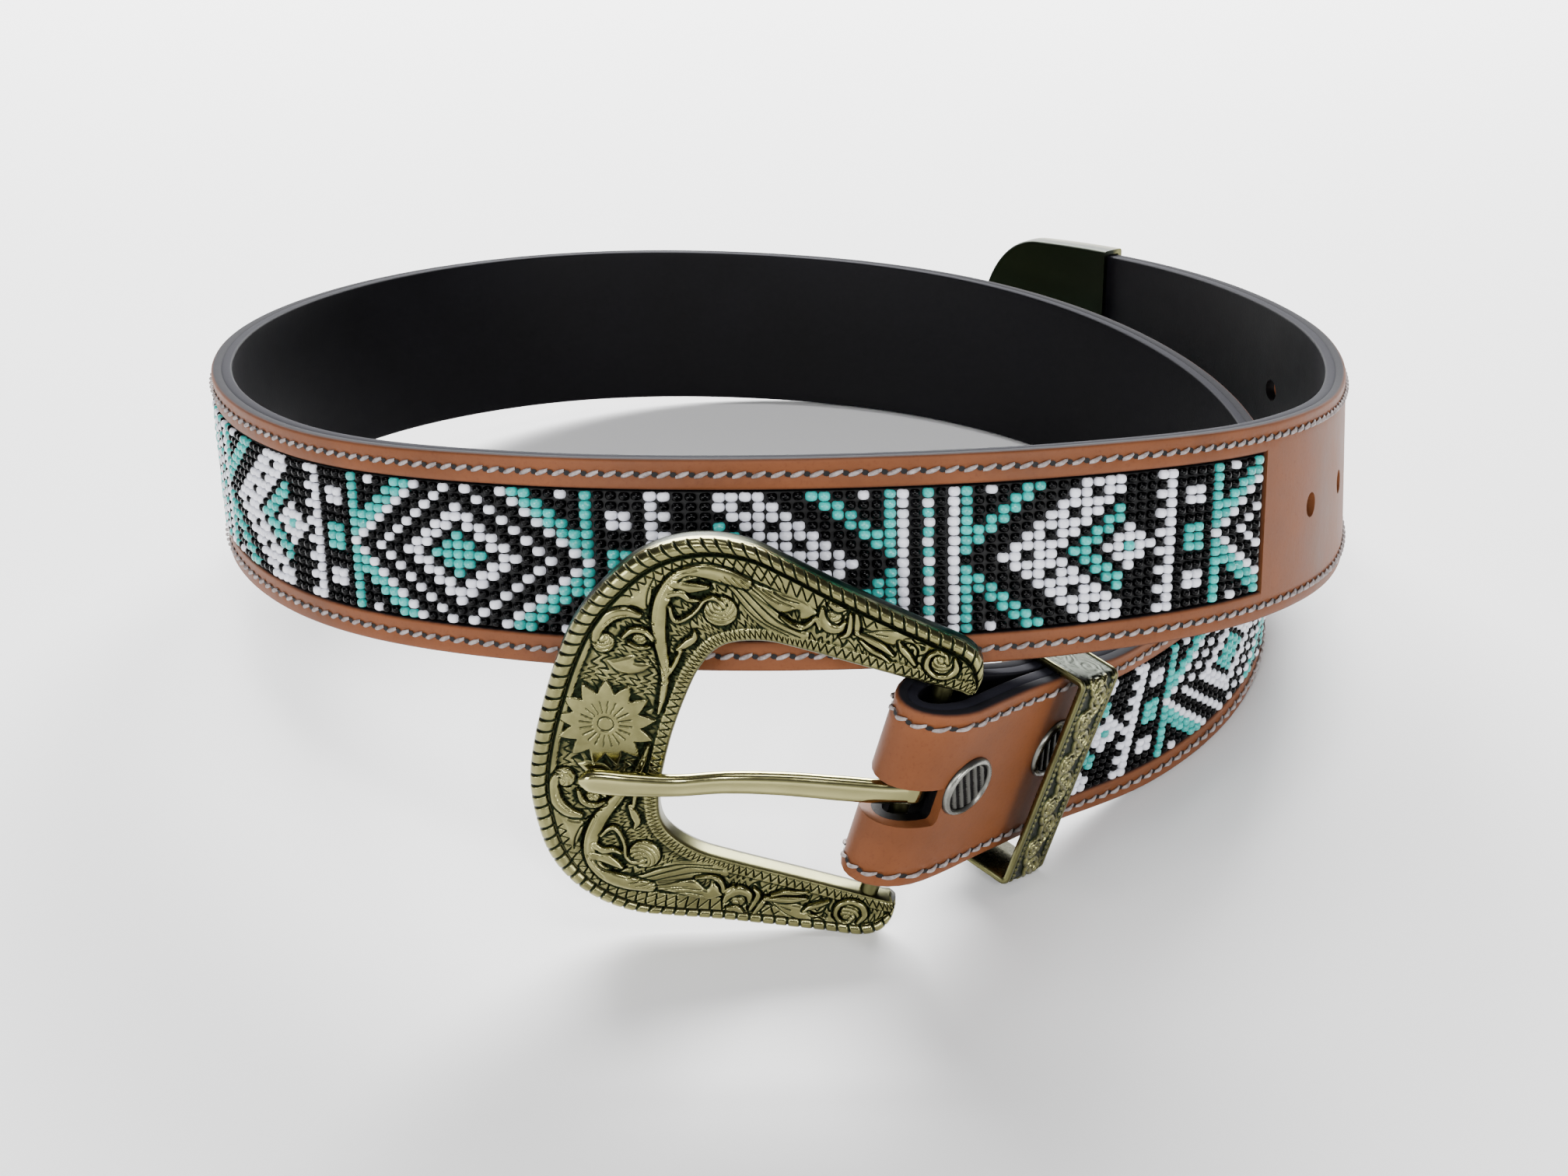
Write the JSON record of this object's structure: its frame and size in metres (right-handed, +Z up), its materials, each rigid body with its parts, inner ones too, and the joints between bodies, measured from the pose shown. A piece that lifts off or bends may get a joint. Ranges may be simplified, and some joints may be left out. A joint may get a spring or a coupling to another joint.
{
  "type": "beaded belt",
  "caption": "Unfastened western belt in a standing coil: tan leather with a woven bead band, cast brass buckle and prong, keeper loop, screws and a metal tip.",
  "frame": {"origin": "centre of the overall plan, on the surface the belt stands on", "axes": "+Z up; -Y toward the buckle, at the front of the coil; +X toward the side where the strap's end hangs free"},
  "size_m": [0.2454, 0.2426, 0.0878],
  "materials": {
    "tan_leather": "satin",
    "black_leather": "satin",
    "beads": "gloss",
    "antique_brass": "antique",
    "polished_brass": "polished",
    "nickel": "polished"
  },
  "bodies": {
    "strap": {"strap_face": "tan_leather", "strap_lining": "black_leather", "bead_band": "beads", "screw_1": "nickel", "screw_2": "nickel", "belt_tip": "antique_brass"},
    "buckle": {"buckle_frame": "antique_brass"},
    "tongue": {"prong": "polished_brass"},
    "loop": {"keeper": "antique_brass"}
  },
  "joints": [
    {"name": "buckle_hinge", "type": "hinge", "parent": "strap", "child": "buckle", "pos_m": [0.02213, -0.1138, 0.03273], "axis": [0.2743, 0.0345, 0.961], "range_deg": [0, 35]},
    {"name": "prong_hinge", "type": "hinge", "parent": "buckle", "child": "tongue", "pos_m": [0.02213, -0.1138, 0.03273], "axis": [0.2743, 0.0345, 0.961], "range_deg": [0, 42]},
    {"name": "keeper_slide", "type": "slide", "parent": "strap", "child": "loop", "axis": [0.6197, 0.7452, -0.2461], "range_m": [0, 0.006]}
  ]
}
